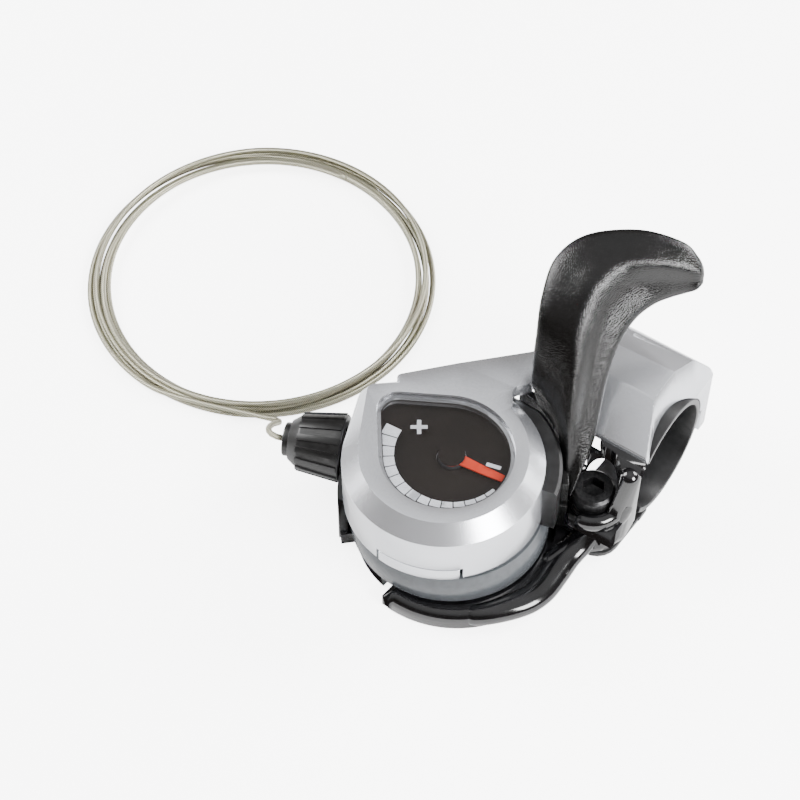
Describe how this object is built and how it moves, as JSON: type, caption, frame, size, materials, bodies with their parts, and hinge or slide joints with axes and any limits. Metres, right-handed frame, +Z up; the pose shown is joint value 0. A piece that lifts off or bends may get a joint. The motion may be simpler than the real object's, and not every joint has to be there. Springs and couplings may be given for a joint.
{
  "type": "trigger shifter",
  "caption": "Thumb gear shifter that clamps to a bicycle handlebar, with a round indicator window, a curved lever, a barrel adjuster and a coiled inner cable.",
  "frame": {"origin": "centre of the handlebar clamp, on the handlebar's axis", "axes": "+X along the handlebar toward the grip, +Y from the winding drum toward the handlebar, +Z up along the drum's axis, out of the window"},
  "size_m": [0.1335, 0.0879, 0.0517],
  "materials": {
    "base_black": "gloss black",
    "band_black": "satin black",
    "bolt_black": "black oxide",
    "zinc": "zinc plated",
    "cover_silver": "silver painted",
    "lens": "tinted clear plastic",
    "dial": "dark brown",
    "marks": "light grey print",
    "pointer_red": "red orange",
    "drum_grey": "mid grey moulded",
    "lever_black": "black, fine leather grain",
    "friction": "plain",
    "cable": "stranded, galvanised",
    "knob_black": "black moulded"
  },
  "bodies": {
    "base": {"base_bracket": "base_black", "clamp_band": "band_black", "clamp_bolt": "bolt_black", "clamp_washer": "bolt_black", "clamp_nut": "zinc", "top_cover": "cover_silver", "access_flap": "cover_silver", "cover_screw": "zinc", "window_lens": "lens", "dial_plate": "dial", "scale_marks": "marks", "pivot_axle": "zinc", "friction_washer": "friction", "spring_washer": "zinc", "axle_nut": "zinc", "cable_run": "cable", "adjuster_bolt": "zinc", "adjuster_spring": "zinc", "cable_lead": "cable", "cable_coil": "cable"},
    "shift_lever": {"lever": "lever_black", "winding_drum": "drum_grey", "pointer_carrier": "drum_grey", "pointer": "pointer_red", "pointer_cap": "dial", "cable_nipple": "zinc"},
    "adjuster_slider": {"adjuster_washer": "zinc"},
    "adjuster": {"adjuster_knob": "knob_black"}
  },
  "joints": [
    {"name": "lever_turn", "type": "hinge", "parent": "base", "child": "shift_lever", "pos_m": [-0.0234, -0.0306, 0], "axis": [0, 0, 1], "range_deg": [-155, 0]},
    {"name": "adjuster_advance", "type": "slide", "parent": "base", "child": "adjuster_slider", "axis": [-0.9205, -0.3907, 0], "range_m": [0, 0.0016]},
    {"name": "adjuster_turn", "type": "hinge", "parent": "adjuster_slider", "child": "adjuster", "pos_m": [-0.0461, -0.03318, 0], "axis": [-0.9205, -0.3907, 0], "range_deg": [0, 720]}
  ],
  "couplings": [
    {"joint": "adjuster_turn", "follows": "adjuster_advance", "rad_per_m": 7854}
  ]
}
